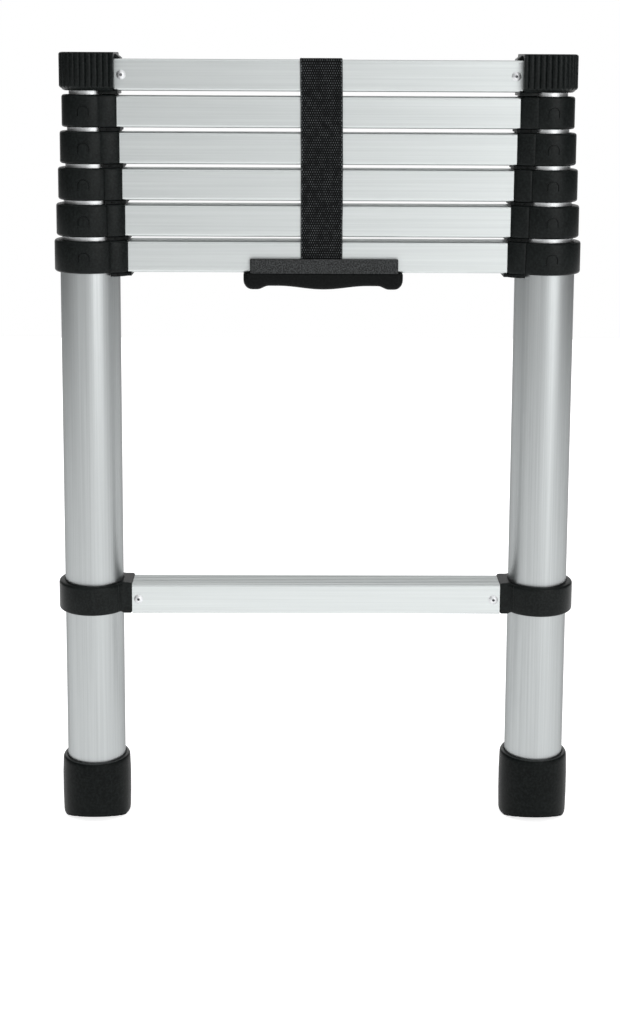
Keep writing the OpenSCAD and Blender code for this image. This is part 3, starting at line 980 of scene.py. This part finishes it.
def make_strap():
    """The folded strap, woven in relief; it sags a little into the gaps between the rungs."""
    low, high = box_mm("carry_strap")
    inner = box_mm("rung_2")[1].y + 0.8
    thick = high.y - inner
    top = high.z - thick
    width = high.x - low.x
    middle = (low.x + high.x) / 2
    rung_mids = [(a.z + b.z) / 2 for a, b in (box_mm(f"rung_{n}") for n in (2, 3))]
    pitch = rung_mids[1] - rung_mids[0]
    columns = int(width / (WEAVE_X / 4))
    rows = []
    crowns = []
    run = 0.0
    before = None
    for y, z, ny, nz in strap_path(inner, low.z, top):
        if before:
            run += math.hypot(y - before[0], z - before[1])
        before = (y, z)
        gap = 0.5 - 0.5 * math.cos(2 * math.pi * (z - rung_mids[0]) / pitch)
        slack = 0.25 * gap if abs(ny) > 0.99 and z < top - 6 else 0
        rise = (z - low.z) / (high.z - low.z)
        wander = 0.25 * noise.noise(Vector((0, y * 0.05, z * 0.045))) + LEAN * rise**3
        squeeze = 1 + 0.006 * (gap - 0.5)
        front = []
        back = []
        row_crowns = []
        for i in range(columns + 1):
            u = -1 + 2 * i / columns
            x = middle + wander + u * (width / 2) * squeeze
            side = width / 2 * (1 - abs(u))
            yarn = weave(u, width, run / WEAVE_S)
            thin = 0.0 if side > EDGE_ROUND else 0.45 * (1 - side / EDGE_ROUND)
            out = thick - WEAVE_DEEP * (1 - yarn) - thin * 0.9 - slack
            under = thin * 0.6 + 0.08 * yarn - slack
            front.append((x, y + ny * out, z + nz * out))
            back.append((x, y + ny * under, z + nz * under))
            # The edges get a low crown value, so the webbing material paints them in shade
            row_crowns.append(yarn if side > 0.3 else 0.3)
        rows.append(front + back[::-1])
        crowns += row_crowns + [0.5] * len(back)
    shape = Shape()
    shape.rings(rows, first=True, last=True)
    piece = shape.object("strap_woven", WEBBING, sharp=70)
    # How high the yarn stands; the webbing material paints shade where it is low and glints where
    # it is high
    crown = piece.data.attributes.new("crown", "FLOAT", "POINT")
    crown.data.foreach_set("value", crowns)
    fit(piece, "section_6", "strap_webbing", "carry_strap")


make_strap()


# ---------------------------------------------------------------- floor and lights
FLOOR_GLOW = 0.76
FLOOR_HALF = 2.6


def make_stage():
    """A white paper floor that glows a little, so that it meets the white backdrop."""
    mesh = bpy.data.meshes.new("studio_floor")
    far = FLOOR_HALF
    corners = [(-far, -far, 0), (far, -far, 0), (far, far, 0), (-far, far, 0)]
    mesh.from_pydata(corners, [], [(0, 1, 2, 3)])
    floor = bpy.data.objects.new("studio_floor", mesh)
    bpy.context.scene.collection.objects.link(floor)
    paint = Paint("studio_paper", (0.93, 0.93, 0.93), 0.9, Specular_IOR_Level=0.1)
    fibre = paint.noise((30, 30, 30), 4.0)
    paint.to("Base Color", paint.mix(fibre, (0.925, 0.925, 0.925), (0.945, 0.945, 0.945)))
    paint.shader.inputs["Emission Color"].default_value = (1, 1, 1, 1)
    paint.shader.inputs["Emission Strength"].default_value = FLOOR_GLOW
    mesh.materials.append(paint.material)


def area_light(name, place, target, size, power):
    data = bpy.data.lights.new(name, "AREA")
    data.shape = "RECTANGLE"
    data.size, data.size_y = size
    data.energy = power
    light = bpy.data.objects.new(name, data)
    bpy.context.scene.collection.objects.link(light)
    light.location = place
    light.rotation_mode = "QUATERNION"
    light.rotation_quaternion = (Vector(target) - Vector(place)).to_track_quat("-Z", "Y")


SKY_DIM = 0.08
# Direction, cosines at which the patch starts and is full, and strength
SKY_FRONT = ((0, -1, 0.2), 0.35, 1.0, 0.45)
SKY_BACK = ((0, 1, 0.2), 0.7, 0.95, 1.0)
SKY_TOP = ((0, -0.2, 1), 0.45, 0.9, 0.75)
SKY_SOFTBOX = ((0.50, -0.85, 0.10), 0.88, 0.97, 2.0)


def make_world():
    """A white backdrop; the light it gives comes from the front, back, top and a softbox."""
    world = bpy.data.worlds.new("studio")
    bpy.context.scene.world = world
    world.use_nodes = True
    tree = world.node_tree
    tree.nodes.clear()
    place = tree.nodes.new("ShaderNodeTexCoord").outputs["Generated"]

    def patch(direction, low, high, strength):
        facing = tree.nodes.new("ShaderNodeVectorMath")
        facing.operation = "DOT_PRODUCT"
        facing.inputs[1].default_value = Vector(direction).normalized()
        tree.links.new(place, facing.inputs[0])
        share = tree.nodes.new("ShaderNodeMapRange")
        share.interpolation_type = "SMOOTHSTEP"
        share.inputs["From Min"].default_value = low
        share.inputs["From Max"].default_value = high
        share.inputs["To Min"].default_value = 0
        share.inputs["To Max"].default_value = strength
        tree.links.new(facing.outputs["Value"], share.inputs["Value"])
        return share.outputs["Result"]

    dim = tree.nodes.new("ShaderNodeValue")
    dim.outputs[0].default_value = SKY_DIM
    total = dim.outputs[0]
    for part in (SKY_FRONT, SKY_BACK, SKY_TOP, SKY_SOFTBOX):
        added = tree.nodes.new("ShaderNodeMath")
        added.operation = "ADD"
        tree.links.new(total, added.inputs[0])
        tree.links.new(patch(*part), added.inputs[1])
        total = added.outputs[0]
    light = tree.nodes.new("ShaderNodeBackground")
    shown = tree.nodes.new("ShaderNodeBackground")
    ray = tree.nodes.new("ShaderNodeLightPath")
    either = tree.nodes.new("ShaderNodeMixShader")
    output = tree.nodes.new("ShaderNodeOutputWorld")
    for start, end in (
        (total, light.inputs["Strength"]),
        (ray.outputs["Is Camera Ray"], either.inputs["Fac"]),
        (light.outputs[0], either.inputs[1]),
        (shown.outputs[0], either.inputs[2]),
        (either.outputs[0], output.inputs["Surface"]),
    ):
        tree.links.new(start, end)
    shown.inputs["Color"].default_value = (1, 1, 1, 1)
    light.inputs["Color"].default_value = (1, 1, 1, 1)


def make_lights():
    area_light("key", (1.5, -2.3, 1.5), (0, 0, 0.35), (0.7, 1.8), 12)
    area_light("top", (0, -0.4, 2.6), (0, 0, 0.3), (2.2, 1.2), 5)


make_world()
make_stage()
make_lights()
bpy.context.scene.view_settings.view_transform = "Standard"
